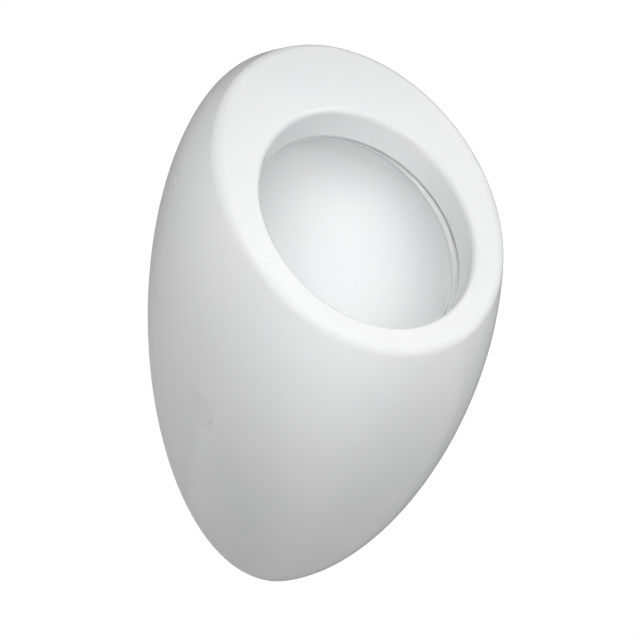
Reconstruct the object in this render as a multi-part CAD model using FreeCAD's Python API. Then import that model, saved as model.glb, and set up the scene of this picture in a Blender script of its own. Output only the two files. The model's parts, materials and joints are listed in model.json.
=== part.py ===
import FreeCAD, Part
import math
import os

# Wall hung urinal with a concealed trap and hidden side fixings.
#
# Millimetres. The wall is the plane Y = 0 and the room lies towards -Y. X = 0 is the mirror plane
# and +Z is up. The origin is in the wall plane, at the centre of the four wall fixing slots.

V = FreeCAD.Vector

# ---- wall fixing pattern ---------------------------------------------------------------------
slot_spacing_x = 200.0          # between the left and right wall slots
slot_spacing_z = 243.0          # between the upper and lower wall slots
upper_row_below_top = 156.0     # upper fixings, below the top of the ceramic

# ---- ceramic: outer egg ----------------------------------------------------------------------
body_height = 600.0             # outline against the wall
wall_width = 314.0
hinge_above_top = 162.0         # the section planes all pass through this line over the body
rim_tilt = 35.1                 # rim plane against the wall, degrees
rim_top_distance = 203.4        # from the hinge line down the rim plane to the rim's top
rim_length = 406.6
rim_width = 309.0
top_crown = 1.0                 # rise of the ridge between wall and rim
belly_bulge = 20.0              # swelling of the underside between wall and rim
belly_lean = 0.1
side_bulge = 18.6               # swelling of the sides between wall and rim
side_lean = -0.22
skin_wall = 12.0
rim_wall = 13.0
rim_outer_round = 12.0
wall_edge_round = 3.0
section_count = 9
hollow_start = -0.04             # the hollow opens past the wall, as a share of the tilt

# ---- ceramic: mouth, collar and flushing channel ---------------------------------------------
mouth_drop = 32.3               # mouth centre below the rim's centre
mouth_length = 282.4
mouth_width = 230.2
collar_depth = 37.6
collar_end_length = 271.4
collar_end_width = 223.6
mouth_round = 6.5
skirt_wall = 8.0                # collar wall at its free end
skirt_round = 2.5
channel_width = 13.0            # flushing channel behind the collar
channel_top_depth = 20.0
channel_wall = 9.0
channel_past_slot = 20.0        # the channel's cutter runs this much past the slot
rim_depth = 62.0                # solid depth of the rim beside and below the mouth
rim_core_margin = 25.0          # the solid rim's core is cut off by the hollow, this far outside it
slot_top = 3.0                  # gap under the collar, at the top
slot_bottom = 16.0              # and at the bottom
ledge_round = 4.0               # rounding of the bowl's edge in the slot

# ---- ceramic: bowl ---------------------------------------------------------------------------
bowl_edge_step = 0.7            # bowl edge inside the collar's free end, top and bottom
bowl_side_step = 1.0            # and at the sides
bowl_wall = 10.5
bowl_back_bulge = 52.0
bowl_side_bulge = 12.0
bowl_floor_power = 4            # how late the floor turns level
back_bulge_peak = 0.25          # where the back bulges most, from the edge to the sump
side_bulge_peak = 1 / 3
bowl_section_count = 9
drain_below_top = body_height * 2 / 3
drain_from_wall = 120.0
sump_radius = 42.0
drain_wall = 14.0
sump_core_rise = 10.0           # the sump's outer wall runs this far up into the bowl's
drain_hole_radius = 32.0

# ---- ceramic: inlet socket -------------------------------------------------------------------
inlet_below_top = 88.0
inlet_face_from_wall = 50.0
inlet_boss_radius = 27.0
inlet_seat_radius = 17.6
inlet_seat_length = 30.0
inlet_bore_radius = 12.0
inlet_bore_end_from_wall = 138.0

# ---- side fixings ----------------------------------------------------------------------------
upper_fixing_from_wall = 112.4
lower_fixing_from_wall = 158.7
boss_face_depth = 27.0          # inner face of all four bosses, at least this far under the lower skin
side_boss_radius = 25.0
upper_seat_depth = 14.2         # screw head seats, under the skin
lower_seat_depth = 16.0
side_hole_radius = 4.6
upper_recess_radius = 8.0
cap_hole_radius = 15.0
cap_recess_radius = 18.5
cap_recess_depth = 7.0
cap_gap = 0.3
cap_skirt_wall = 1.6
cap_skirt_length = 7.0
cap_notch_width = 3.0

arm_plate = 4.0
arm_from_skin = 6.0             # least room between the arms and the inside of the skin, at the wall
arm_root_height = 44.0
arm_end_height = 30.0
arm_flange_width = 42.0
arm_past_screw = 16.0
arm_bend_radius = 4.0
wall_slot_radius = 4.5
wall_slot_length = 20.0
pad_thickness = 2.0
pad_radius = 14.0
screw_radius = 4.0
screw_past_nut = 2.5
screw_head_radius = 6.5
screw_head_height = 5.0
screw_socket_width = 5.0
screw_socket_depth = 3.0
screw_head_chamfer = 0.6
head_washer_radius = 7.6
head_washer_thickness = 1.5
arm_nut_width = 13.0
arm_nut_thickness = 6.5

# ---- waste -----------------------------------------------------------------------------------
fit_gap = 0.1                   # round pieces of one body that sit inside one another
brim_radius = 39.0
brim_thickness = 3.0
spigot_radius = 30.0
spigot_wall = 3.0
spigot_below_floor = 40.0
upper_gasket_thickness = 2.0
lower_gasket_thickness = 5.0
lower_gasket_radius = 42.0
trap_radius = 46.0
trap_wall = 4.0
trap_top_wall = 8.0
cup_joint_below_floor = 76.0
outlet_below_floor = 46.0
outlet_radius = 20.0
outlet_wall = 3.0
nozzle_radius = 25.0
nozzle_end_from_wall = 52.0
nozzle_socket_depth = 12.0
outlet_seal_thickness = 6.0
outlet_nut_radius = 29.5
outlet_nut_length = 21.0
outlet_nut_lip = 4.0
outlet_socket_gap = 1.0         # between the pipe's end and the end of its socket
outlet_cone_length = 14.0       # widens the outlet to the wall pipe
wall_pipe_radius = 25.0
wall_pipe_start_from_wall = 20.0
wall_pipe_into_wall = 40.0
cup_seal_thickness = 3.0
cup_flange_thickness = 3.0
cup_radius = 41.0
cup_wall = 3.0
cup_straight = 10.0
cup_bottom_below_floor = 128.0
cup_bottom_radius = 29.0
cup_ring_radius = 51.0
cup_ring_height = 12.0
cup_ring_lip = 4.0
grip_ribs = 18
grip_rib_radius = 1.6

# ---- lift-out insert -------------------------------------------------------------------------
insert_gap = 0.3                # between the insert and the waste flange
water_seal = 50.0
dip_tube_radius = 20.0
dip_tube_wall = 2.0
dip_collar_depth = 16.0
dip_cone_depth = 8.0
dip_mouth_wall = 3.5
o_ring_section = 3.0
o_ring_gap = 0.1
o_ring_below_floor = 9.0
strainer_radius = 34.0
strainer_thickness = 1.6
strainer_rise = 5.0
strainer_flat = 8.0
strainer_slots = 16
strainer_slot_width = 3.0
strainer_slot_inner = 11.0
strainer_slot_outer = 25.0
strainer_slot_rim = 2.0         # plain band outside the slots
strainer_steps = 6              # straight steps in the dome's profile
strainer_screw_radius = 2.5
strainer_screw_length = 18.0
strainer_screw_head_radius = 5.0
strainer_screw_head_height = 2.4
strainer_screw_head_round = 1.44
strainer_screw_slot_width = 1.2
cross_bar_width = 8.0
cross_bar_height = 6.0
cross_bar_overlap = 0.5         # the bar's ends inside the collar
hub_wall = 1.0

# ---- inlet fittings --------------------------------------------------------------------------
grommet_flange_radius = 22.0
grommet_flange_thickness = 4.0
grommet_edge = 1.0
grommet_short_of_seat = 2.0
tail_spigot_radius = 11.5
tail_tube_radius = 7.5
tail_wall = 2.0
tail_end_from_wall = 24.0
tail_collar_radius = 9.3
tail_collar_thickness = 2.5
tail_tube_length = 14.0
tail_cone_length = 8.0
tail_spigot_past_grommet = 14.0
inlet_washer_thickness = 2.0
inlet_nut_width = 27.0
inlet_nut_length = 24.0
inlet_nut_mouth_from_wall = 12.0
inlet_thread_radius = 10.4
inlet_thread_length = 9.5
inlet_washer_gap = 0.3          # round the washer in the nut

# ---- values worked out from the sizes above --------------------------------------------------
upper_z = slot_spacing_z / 2
lower_z = -slot_spacing_z / 2
top_z = upper_z + upper_row_below_top
hinge = V(0, 0, top_z + hinge_above_top)
tilt = math.radians(rim_tilt)
rim_down = V(0, -math.sin(tilt), -math.cos(tilt))
rim_inward = V(0, math.cos(tilt), -math.sin(tilt))
rim_centre_distance = rim_top_distance + rim_length / 2
mouth_centre_distance = rim_centre_distance + mouth_drop
floor_z = top_z - drain_below_top
drain_y = -drain_from_wall
inlet_z = top_z - inlet_below_top
outlet_z = floor_z - outlet_below_floor
underside_z = floor_z - drain_wall
drain_point = V(0, drain_y, floor_z)
up = V(0, 0, 1)
to_wall = V(0, 1, 0)
sideways = V(1, 0, 0)
trap_top = -drain_wall - lower_gasket_thickness      # heights of the waste, from the sump floor
brim_top = upper_gasket_thickness + brim_thickness
insert_seat = brim_top + insert_gap
dip_tube_end = -outlet_below_floor - (outlet_radius - outlet_wall) - water_seal
far = 400.0                     # safely outside the body, for cutters
overlap = 1.0                   # shapes that are joined or cut reach this far into one another
on_surface = 0.02               # how near a point on a plane lies
on_curve = 0.01                 # how near a point on an ellipse or a face lies
sample_steps = 6                # points looked at along an edge


# ---- general shapes --------------------------------------------------------------------------
def frame_matrix(origin, x_dir, y_dir, z_dir, x_scale=1.0, y_scale=1.0):
    """Matrix that carries a flat unit shape to the given place, stretched along its own X and Y."""
    return FreeCAD.Matrix(x_dir.x * x_scale, y_dir.x * y_scale, z_dir.x, origin.x,
                          x_dir.y * x_scale, y_dir.y * y_scale, z_dir.y, origin.y,
                          x_dir.z * x_scale, y_dir.z * y_scale, z_dir.z, origin.z,
                          0, 0, 0, 1)


def ellipse_wire(centre, half_width, half_length, long_dir):
    """Closed ellipse, half_width along X and half_length along long_dir, in two mirrored halves."""
    matrix = frame_matrix(centre, sideways, long_dir, sideways.cross(long_dir), half_width, half_length)
    circle = Part.Circle(V(0, 0, 0), up, 1.0)
    quarter = math.pi / 2
    halves = [Part.ArcOfCircle(circle, start, start + 2 * quarter).toShape()
              for start in (quarter, 3 * quarter)]
    return Part.Wire([half.transformGeometry(matrix) for half in halves])


def loft(wires, ruled=False):
    return Part.makeLoft(wires, True, ruled)


def cylinder(radius, length, base, axis):
    return Part.makeCylinder(radius, length, base, axis)


def ring(outer, inner, length, base, axis):
    return cylinder(outer, length, base, axis).cut(cylinder(inner, length, base, axis))


def revolve_profile(points, axis_point, axis):
    """Solid of revolution of (radius, height) points about an axis."""
    corners = [axis_point + sideways * radius + axis * height for radius, height in points]
    face = Part.Face(Part.makePolygon(corners + [corners[0]]))
    return face.revolve(axis_point, axis, 360)


def hexagon(across_flats, length, base, axis):
    """Hexagonal prism along Y or X."""
    reach = across_flats / math.sqrt(3)
    other = axis.cross(up)
    corners = []
    for corner in range(7):
        turn = math.radians(60 * corner)
        corners.append(base + up * (reach * math.cos(turn)) + other * (reach * math.sin(turn)))
    return Part.Face(Part.makePolygon(corners)).extrude(axis * length)


def mirrored(shape):
    return shape.mirror(V(0, 0, 0), sideways)


def both_sides(shape):
    return [shape, mirrored(shape)]


def swell(f, height, lean=0.0):
    """Smooth bulge of the given height, zero at both ends."""
    return height * 4 * f * (1 - f) * (1 + lean * (1 - 2 * f))


def hump(f, height, peak):
    """Bulge of the given height at peak, zero at f = 0 and dying out smoothly at f = 1."""
    power = 1 / peak - 1
    return height * f * (1 - f) ** power / (peak * (1 - peak) ** power)


def rim_point(distance, depth=0.0):
    """Point in the mirror plane, down the rim plane and behind it."""
    return hinge + rim_down * distance + rim_inward * depth


def on_rim_plane(point, depth=0.0):
    return abs((point - rim_point(0, depth)).dot(rim_inward)) < on_surface


def edges_where(shape, test):
    """Edges whose sample points all pass a test."""
    found = []
    for edge in shape.Edges:
        first, last = edge.ParameterRange
        samples = [edge.valueAt(first + (last - first) * k / sample_steps)
                   for k in range(sample_steps + 1)]
        if all(test(point) for point in samples):
            found.append(edge)
    return found


# ---- ceramic body ----------------------------------------------------------------------------
def egg_sizes(f):
    """Half width, top and bottom of the skin in the plane turned by f of the rim tilt from the wall."""
    turn = tilt * f
    rise = (rim_top_distance * math.cos(tilt) - hinge_above_top) / (rim_top_distance * math.sin(tilt))
    top = hinge_above_top / (math.cos(turn) - rise * math.sin(turn)) - swell(f, top_crown)
    wall_bottom = hinge_above_top + body_height
    rim_bottom = rim_top_distance + rim_length
    bottom = wall_bottom + (rim_bottom - wall_bottom) * f + swell(f, belly_bulge, belly_lean)
    half_width = (wall_width + (rim_width - wall_width) * f) / 2 + swell(f, side_bulge, side_lean)
    return half_width, top, bottom


def egg_section(f, inset=0.0):
    """Ellipse of the outer skin, or of one inside it, in a turned plane; f = 0 at the wall."""
    half_width, top, bottom = egg_sizes(f)
    turn = tilt * f
    down = V(0, -math.sin(turn), -math.cos(turn))
    centre = hinge + down * ((top + bottom) / 2)
    return ellipse_wire(centre, half_width - inset, (bottom - top) / 2 - inset, down)


def egg(inset=0.0, first=0.0):
    steps = [first + (1 - first) * k / (section_count - 1) for k in range(section_count)]
    return loft([egg_section(f, inset) for f in steps])


def skin_x(from_wall, z):
    """Half width of the skin at a distance from the wall and a height."""
    below_hinge = hinge.z - z
    half_width, top, bottom = egg_sizes(math.atan2(from_wall, below_hinge) / tilt)
    off_centre = (math.hypot(from_wall, below_hinge) - (top + bottom) / 2) / ((bottom - top) / 2)
    return half_width * math.sqrt(1 - off_centre ** 2)


upper_skin_x = skin_x(upper_fixing_from_wall, upper_z)
lower_skin_x = skin_x(lower_fixing_from_wall, lower_z)
boss_face_x = min(lower_skin_x - boss_face_depth,
                  skin_x(0, upper_z) - skin_wall - arm_from_skin + pad_thickness)
cap_recess_floor_x = lower_skin_x - cap_recess_depth
plate_x = boss_face_x - pad_thickness                # outer face of the arm plates
nut_face_x = plate_x - arm_plate - arm_nut_thickness

# each fixing: a point on its axis in the mirror plane, and where its screw head seats
upper_fixing = (V(0, -upper_fixing_from_wall, upper_z), upper_skin_x - upper_seat_depth)
lower_fixing = (V(0, -lower_fixing_from_wall, lower_z), lower_skin_x - lower_seat_depth)


def rim_prism(half_width, half_length, from_depth, to_depth, end_width=None, end_length=None):
    """Straight or tapered elliptic plug behind the rim plane, centred on the mouth."""
    near = ellipse_wire(rim_point(mouth_centre_distance, from_depth), half_width, half_length, rim_down)
    far_wire = ellipse_wire(rim_point(mouth_centre_distance, to_depth), end_width or half_width,
                            end_length or half_length, rim_down)
    return loft([near, far_wire], ruled=True)


def behind_rim(depth):
    """Everything more than depth behind the rim plane."""
    corners = [rim_point(0, depth) + V(x, 0, 0) + rim_down * d
               for x, d in ((-far, -far), (far, -far), (far, 3 * far), (-far, 3 * far), (-far, -far))]
    return Part.Face(Part.makePolygon(corners)).extrude(rim_inward * (2 * far))


def bowl_edge_points():
    """Top and bottom of the bowl's edge, in the mirror plane."""
    half = collar_end_length / 2 - bowl_edge_step
    top = rim_point(mouth_centre_distance - half, collar_depth + slot_top)
    bottom = rim_point(mouth_centre_distance + half, collar_depth + slot_bottom)
    return top, bottom


def bowl_solid(grow=0.0):
    """Bowl: ellipses in planes that turn from its edge down to the level sump floor."""
    top, bottom = bowl_edge_points()
    edge_dir = (bottom - top).normalize()
    top = top - edge_dir * grow
    bottom = bottom + edge_dir * grow
    level = floor_z - grow
    pivot = bottom + edge_dir * ((bottom.z - level) / -edge_dir.z)
    start_angle = math.atan2(top.z - pivot.z, top.y - pivot.y)
    start_near = (bottom - pivot).Length
    start_far = (top - pivot).Length
    end_middle = drain_y - pivot.y
    end_near = end_middle - sump_radius - grow
    end_far = end_middle + sump_radius + grow
    start_width = collar_end_width / 2 - bowl_side_step + grow
    end_width = sump_radius + grow
    wires = []
    for k in range(bowl_section_count):
        s = k / (bowl_section_count - 1)
        angle = start_angle * (1 - s)
        outward = V(0, math.cos(angle), math.sin(angle))
        near = start_near + (end_near - start_near) * s ** bowl_floor_power
        back_hump = hump(s, bowl_back_bulge, back_bulge_peak)
        side_hump = hump(s, bowl_side_bulge, side_bulge_peak)
        away = start_far + (end_far - start_far) * s + back_hump
        half_width = start_width + (end_width - start_width) * s ** 2 + side_hump
        centre = pivot + outward * ((near + away) / 2)
        wires.append(ellipse_wire(centre, half_width, (away - near) / 2, outward))
    return loft(wires)


def on_bowl_edge(point):
    """True on the ellipse that the bowl leaves in the floor of the slot."""
    top, bottom = bowl_edge_points()
    edge_dir = (bottom - top).normalize()
    from_middle = point - (top + bottom) * 0.5
    if abs(from_middle.dot(sideways.cross(edge_dir))) > on_surface:
        return False
    across = from_middle.x / (collar_end_width / 2 - bowl_side_step)
    along = from_middle.dot(edge_dir) / ((bottom - top).Length / 2)
    return abs(across ** 2 + along ** 2 - 1) < on_curve


def in_front_of_bowl_edge():
    """Block on the room side of the plane through the bowl's edge."""
    top, bottom = bowl_edge_points()
    edge_dir = (bottom - top).normalize()
    normal = sideways.cross(edge_dir)
    corners = [top + V(x, 0, 0) + edge_dir * d
               for x, d in ((-far, -far), (far, -far), (far, 2 * far), (-far, 2 * far), (-far, -far))]
    towards_room = normal if normal.y < 0 else normal * -1
    return Part.Face(Part.makePolygon(corners)).extrude(towards_room * far)


def flushing_void():
    """Slot under the collar and the channel behind it."""
    channel_half_width = collar_end_width / 2 + skirt_wall + channel_width
    channel_half_length = collar_end_length / 2 + skirt_wall + channel_width
    deep = collar_depth + slot_bottom + channel_past_slot
    block = rim_prism(channel_half_width, channel_half_length, channel_top_depth, deep)
    skirt = rim_prism(collar_end_width / 2 + skirt_wall, collar_end_length / 2 + skirt_wall,
                      0, collar_depth)
    return block.cut(skirt).common(in_front_of_bowl_edge())


def collar_void():
    """Opening of the rim, tapering to the collar's free end and widened past the rim face."""
    return rim_prism(mouth_width / 2, mouth_length / 2, 0, collar_depth,
                     collar_end_width / 2, collar_end_length / 2)


def cores():
    """What stays solid inside the rear hollow: channel walls, bowl, sump, inlet and side bosses."""
    core_top = mouth_centre_distance - collar_end_length / 2 - skirt_wall - channel_width - channel_wall
    core_bottom = rim_top_distance + rim_length + 2 * rim_core_margin
    core_centre = (core_top + core_bottom) / 2
    ends = [ellipse_wire(rim_point(core_centre, depth), rim_width / 2 + rim_core_margin,
                         (core_bottom - core_top) / 2, rim_down) for depth in (0, rim_depth)]
    channel_body = loft(ends, ruled=True)
    sump = cylinder(sump_radius + bowl_wall, drain_wall + sump_core_rise, V(0, drain_y, underside_z), up)
    inlet = cylinder(inlet_boss_radius, inlet_bore_end_from_wall - inlet_face_from_wall,
                     V(0, -inlet_face_from_wall, inlet_z), to_wall * -1)
    shapes = [channel_body, bowl_solid(bowl_wall), sump, inlet]
    for axis_point, seat_x in (upper_fixing, lower_fixing):
        boss = cylinder(side_boss_radius, far, axis_point + sideways * boss_face_x, sideways)
        shapes += both_sides(boss)
    return shapes


def side_holes():
    """Bores of the side screws, the upper head recess and the lower cap recess."""
    upper_axis, upper_seat = upper_fixing
    lower_axis, lower_seat = lower_fixing
    shapes = [cylinder(side_hole_radius, far, axis + sideways * (boss_face_x - overlap), sideways)
              for axis in (upper_axis, lower_axis)]
    shapes.append(cylinder(upper_recess_radius, far, upper_axis + sideways * upper_seat, sideways))
    shapes.append(cylinder(cap_hole_radius, far, lower_axis + sideways * lower_seat, sideways))
    shapes.append(cylinder(cap_recess_radius, far, lower_axis + sideways * cap_recess_floor_x, sideways))
    return shapes + [mirrored(shape) for shape in shapes]


def on_ellipse(point, depth, half_width, half_length):
    """True on the ellipse of the given half sizes about the mouth centre, at a depth."""
    if not on_rim_plane(point, depth):
        return False
    along = (point - rim_point(mouth_centre_distance, depth)).dot(rim_down)
    return abs((point.x / half_width) ** 2 + (along / half_length) ** 2 - 1) < on_curve


def ceramic_body():
    outer = egg()
    outer = outer.makeFillet(wall_edge_round, edges_where(outer, lambda point: abs(point.y) < on_surface))
    outer = outer.makeFillet(rim_outer_round, edges_where(outer, on_rim_plane))
    hollow = egg(skin_wall, hollow_start).common(behind_rim(rim_wall))
    for core in cores():
        hollow = hollow.cut(core)
    body = outer.cut(hollow)
    body = body.cut(collar_void())
    mouth_edges = edges_where(body, lambda point: on_ellipse(point, 0, mouth_width / 2, mouth_length / 2))
    body = body.makeFillet(mouth_round, mouth_edges)
    body = body.cut(flushing_void())
    body = body.cut(bowl_solid())
    body = body.makeFillet(ledge_round, edges_where(body, on_bowl_edge))
    skirt_edges = edges_where(body, lambda point: on_ellipse(point, collar_depth, collar_end_width / 2,
                                                             collar_end_length / 2))
    body = body.makeFillet(skirt_round, skirt_edges)
    body = body.cut(cylinder(drain_hole_radius, 3 * drain_wall, drain_point - up * (2 * drain_wall), up))
    inlet_face = V(0, -inlet_face_from_wall, inlet_z)
    body = body.cut(cylinder(inlet_seat_radius, inlet_seat_length, inlet_face, to_wall * -1))
    body = body.cut(cylinder(inlet_bore_radius, inlet_bore_end_from_wall - inlet_face_from_wall,
                             inlet_face, to_wall * -1))
    for hole in side_holes():
        body = body.cut(hole)
    return body


# ---- side fixings ----------------------------------------------------------------------------
def wall_arm(fixing):
    """Bent steel arm of the right side: wall flange with a slot, and a plate along the boss."""
    axis_point = fixing[0]
    reach = -axis_point.y + arm_past_screw
    inner_x = plate_x - arm_plate
    flange_end = plate_x - arm_flange_width
    outer_bend = arm_bend_radius + arm_plate
    z = axis_point.z
    low = z - arm_root_height / 2
    corner = V(plate_x - outer_bend, -outer_bend, low)
    mid = math.sqrt(0.5)
    outer_arc = Part.Arc(corner + V(outer_bend, 0, 0), corner + V(outer_bend * mid, outer_bend * mid, 0),
                         corner + V(0, outer_bend, 0)).toShape()
    inner_arc = Part.Arc(corner + V(0, arm_bend_radius, 0),
                         corner + V(arm_bend_radius * mid, arm_bend_radius * mid, 0),
                         corner + V(arm_bend_radius, 0, 0)).toShape()
    a, b = V(plate_x, -reach, low), V(plate_x, -outer_bend, low)
    c, d = V(plate_x - outer_bend, 0, low), V(flange_end, 0, low)
    e, f = V(flange_end, -arm_plate, low), V(plate_x - outer_bend, -arm_plate, low)
    g, h = V(inner_x, -outer_bend, low), V(inner_x, -reach, low)
    line = Part.makeLine
    outline = Part.Wire([line(a, b), outer_arc, line(c, d), line(d, e), line(e, f), inner_arc,
                         line(g, h), line(h, a)])
    blank = Part.Face(outline).extrude(up * arm_root_height)
    half_root, half_end = arm_root_height / 2, arm_end_height / 2
    taper_start = -outer_bend
    side_x = flange_end - overlap
    round_centre = V(side_x, -reach + half_end, z)
    side = [V(side_x, overlap, z - half_root), V(side_x, taper_start, z - half_root),
            round_centre - up * half_end, round_centre - to_wall * half_end, round_centre + up * half_end,
            V(side_x, taper_start, z + half_root), V(side_x, overlap, z + half_root)]
    edges = [line(side[0], side[1]), line(side[1], side[2]),
             Part.Arc(side[2], side[3], side[4]).toShape(),
             line(side[4], side[5]), line(side[5], side[6]), line(side[6], side[0])]
    arm = blank.common(Part.Face(Part.Wire(edges)).extrude(sideways * (arm_flange_width + 2 * overlap)))
    arm = arm.cut(cylinder(side_hole_radius, 2 * arm_plate, V(inner_x - arm_plate / 2, axis_point.y, z),
                           sideways))
    return arm.cut(wall_slot(z))


def wall_slot(z):
    half_run = wall_slot_length / 2 - wall_slot_radius
    x = slot_spacing_x / 2
    start = V(x, -2 * arm_plate, z)
    ends = [cylinder(wall_slot_radius, 3 * arm_plate, start + V(shift, 0, 0), to_wall)
            for shift in (-half_run, half_run)]
    middle = Part.makeBox(2 * half_run, 3 * arm_plate, 2 * wall_slot_radius,
                          start - V(half_run, 0, wall_slot_radius))
    return ends[0].fuse([ends[1], middle])


def arm_nut(fixing):
    base = fixing[0] + sideways * nut_face_x
    nut = hexagon(arm_nut_width, arm_nut_thickness, base, sideways)
    return nut.cut(cylinder(screw_radius + fit_gap, 2 * arm_nut_thickness, base - sideways, sideways))


def arm_pad(fixing):
    return ring(pad_radius, side_hole_radius, pad_thickness, fixing[0] + sideways * plate_x, sideways)


def head_washer(fixing):
    axis_point, seat_x = fixing
    return ring(head_washer_radius, screw_radius + fit_gap, head_washer_thickness,
                axis_point + sideways * seat_x, sideways)


def side_screw(fixing):
    """Socket-headed screw with its tip just through the nut."""
    axis_point, seat_x = fixing
    under_head = axis_point + sideways * (seat_x + head_washer_thickness)
    length = under_head.x - nut_face_x + screw_past_nut
    head = cylinder(screw_head_radius, screw_head_height, under_head, sideways)
    end_x = under_head.x + screw_head_height
    head = head.makeChamfer(screw_head_chamfer, edges_where(head, lambda p: p.x > end_x - on_curve))
    socket = hexagon(screw_socket_width, screw_socket_depth,
                     under_head + sideways * (screw_head_height - screw_socket_depth), sideways)
    return head.cut(socket).fuse(cylinder(screw_radius, length, under_head - sideways * length, sideways))


def access_cap():
    """Right cap: a disc flush with the skin and a notched spring skirt in the hole."""
    axis_point = lower_fixing[0]
    back_x = cap_recess_floor_x + cap_gap
    disc = cylinder(cap_recess_radius - cap_gap, far, axis_point + sideways * back_x, sideways)
    disc = disc.common(egg())
    outer = cap_hole_radius - cap_gap
    skirt = ring(outer, outer - cap_skirt_wall, cap_skirt_length + overlap,
                 axis_point + sideways * (back_x - cap_skirt_length), sideways)
    notch = Part.makeBox(cap_skirt_length, 2 * far, cap_notch_width,
                         axis_point + V(back_x - cap_skirt_length, -far, -cap_notch_width / 2))
    cross_notch = notch.copy()
    cross_notch.rotate(axis_point, sideways, 90)
    return disc.fuse(skirt.cut(notch).cut(cross_notch))


# ---- waste, with heights from the sump floor ---------------------------------------------------
def about_drain(points):
    return revolve_profile(points, drain_point, up)


def drain_ring(outer, inner, low, high):
    return ring(outer, inner, high - low, drain_point + up * low, up)


def waste_flange():
    bore = spigot_radius - spigot_wall
    seat = upper_gasket_thickness
    edge = brim_thickness / 3
    return about_drain([(bore, -spigot_below_floor), (spigot_radius, -spigot_below_floor),
                        (spigot_radius, seat), (brim_radius, seat), (brim_radius, seat + edge),
                        (brim_radius - edge, brim_top), (bore, brim_top)])


def trap_head():
    """Round head under the ceramic, with the outlet nozzle towards the wall."""
    inside = trap_radius - trap_wall
    low = -cup_joint_below_floor
    shell = about_drain([(spigot_radius + fit_gap, trap_top), (trap_radius, trap_top), (trap_radius, low),
                         (inside, low), (inside, trap_top - trap_top_wall),
                         (spigot_radius + fit_gap, trap_top - trap_top_wall)])
    axis_point = V(0, drain_y, outlet_z)
    length = drain_from_wall - nozzle_end_from_wall
    nozzle = cylinder(nozzle_radius, length, axis_point, to_wall)
    core = cylinder(trap_radius - trap_wall / 2, 4 * nozzle_radius, axis_point - up * (2 * nozzle_radius), up)
    head = shell.fuse(nozzle.cut(core))
    head = head.cut(cylinder(outlet_radius - outlet_wall, length + overlap, axis_point, to_wall))
    socket_start = V(0, -nozzle_end_from_wall - nozzle_socket_depth, outlet_z)
    return head.cut(cylinder(outlet_radius + fit_gap, nozzle_socket_depth, socket_start, to_wall))


def trap_cup():
    top = -cup_joint_below_floor - cup_seal_thickness
    under = top - cup_flange_thickness
    straight = under - cup_straight
    bottom = -cup_bottom_below_floor
    chamfer = cup_bottom_radius / 4
    inner = cup_radius - cup_wall
    cup = about_drain([(inner, top), (trap_radius, top), (trap_radius, under), (cup_radius, under),
                       (cup_radius, straight), (cup_bottom_radius, bottom + chamfer),
                       (cup_bottom_radius - chamfer, bottom), (0, bottom), (0, bottom + cup_wall),
                       (cup_bottom_radius - chamfer - cup_wall / 2, bottom + cup_wall),
                       (cup_bottom_radius - cup_wall, bottom + chamfer + cup_wall / 2),
                       (inner, straight)])
    return cup


def cup_ring():
    """Union ring that screws the cup to the head, with finger ribs."""
    lip_top = -cup_joint_below_floor - cup_seal_thickness - cup_flange_thickness
    low = lip_top - cup_ring_lip
    high = low + cup_ring_height
    bore = trap_radius + fit_gap
    body = about_drain([(bore, high), (cup_ring_radius, high), (cup_ring_radius, low),
                        (cup_radius + fit_gap, low), (cup_radius + fit_gap, lip_top), (bore, lip_top)])
    return body.fuse(grip_rib_set(drain_point + up * low, up, cup_ring_radius, cup_ring_height))


def grip_rib_set(base, axis, radius, length):
    """Round ribs around a hand nut."""
    ribs = []
    for k in range(grip_ribs):
        rib = cylinder(grip_rib_radius, length, base + first_side(axis) * radius, axis)
        rib.rotate(base, axis, 360 * k / grip_ribs)
        ribs.append(rib)
    return ribs


def first_side(axis):
    return up if axis.z == 0 else sideways


def outlet_pipe():
    """Pipe from the nozzle's socket that widens to the pipe in the wall."""
    start = -nozzle_end_from_wall - nozzle_socket_depth + outlet_socket_gap
    cone_end = -wall_pipe_start_from_wall
    cone_start = cone_end - outlet_cone_length
    end = wall_pipe_into_wall
    small, large = outlet_radius - outlet_wall, wall_pipe_radius - outlet_wall
    profile = [(small, start), (outlet_radius, start), (outlet_radius, cone_start),
               (wall_pipe_radius, cone_end), (wall_pipe_radius, end - outlet_wall),
               (wall_pipe_radius - outlet_wall / 2, end), (large, end), (large, cone_end),
               (small, cone_start)]
    return revolve_profile(profile, V(0, 0, outlet_z), to_wall)


def outlet_seal():
    return ring(nozzle_radius, outlet_radius + fit_gap, outlet_seal_thickness,
                V(0, -nozzle_end_from_wall, outlet_z), to_wall)


def outlet_nut():
    lip_start = -nozzle_end_from_wall + outlet_seal_thickness
    end = lip_start + outlet_nut_lip
    base = V(0, end - outlet_nut_length, outlet_z)
    nut = cylinder(outlet_nut_radius, outlet_nut_length, base, to_wall)
    nut = nut.cut(cylinder(nozzle_radius + fit_gap, outlet_nut_length - outlet_nut_lip, base, to_wall))
    nut = nut.fuse(grip_rib_set(base, to_wall, outlet_nut_radius, outlet_nut_length))
    return nut.cut(cylinder(outlet_radius + fit_gap, 2 * outlet_nut_length, base, to_wall))


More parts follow.
